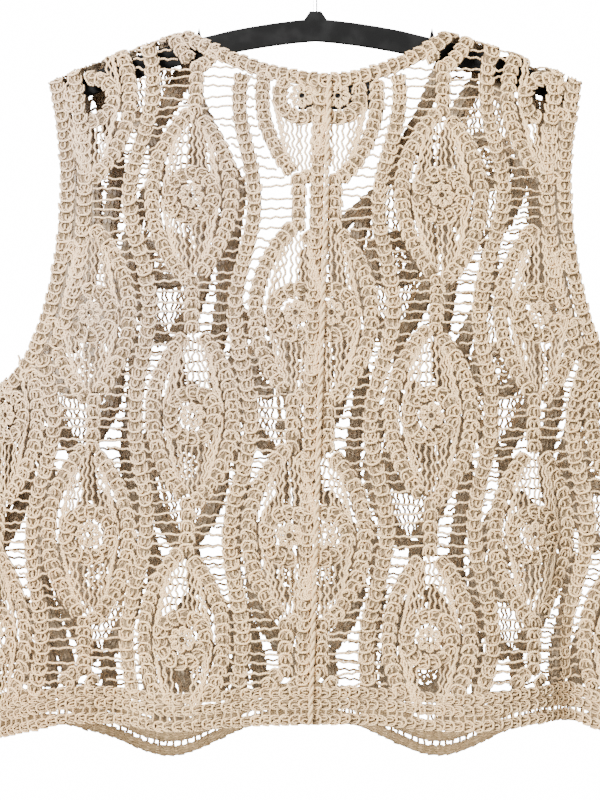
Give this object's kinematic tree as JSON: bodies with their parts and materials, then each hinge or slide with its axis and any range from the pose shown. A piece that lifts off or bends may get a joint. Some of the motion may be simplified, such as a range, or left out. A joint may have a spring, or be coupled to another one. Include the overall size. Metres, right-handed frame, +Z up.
{
  "type": "crochet top on a hanger",
  "caption": "Sleeveless crochet lace top with a shallow back neck and a V front, hollow and open at neck, hem and armholes, hanging on a slim hanger with a wire hook.",
  "frame": {"origin": "inner top of the hanger's hook, where a rail carries it", "axes": "+Z up, against the pull of the hanging top; the back of the top faces -Y and its front +Y; +X to the wearer's right"},
  "size_m": [0.5308, 0.1265, 0.6777],
  "materials": {
    "cotton_crochet": "matt beige cotton yarn, worked as lace",
    "label_weave": "plain black woven tape",
    "hanger_flock": "matt black",
    "hook_steel": "bright steel wire"
  },
  "bodies": {
    "root": {"back_left": "cotton_crochet", "back_right": "cotton_crochet", "back_seam": "cotton_crochet", "front_left": "cotton_crochet", "front_right": "cotton_crochet", "front_seam": "cotton_crochet", "neck_band": "cotton_crochet", "armhole_band_left": "cotton_crochet", "armhole_band_right": "cotton_crochet", "hem_band": "cotton_crochet", "neck_label": "label_weave", "hanger_arms": "hanger_flock", "hanger_hook": "hook_steel"}
  },
  "joints": []
}
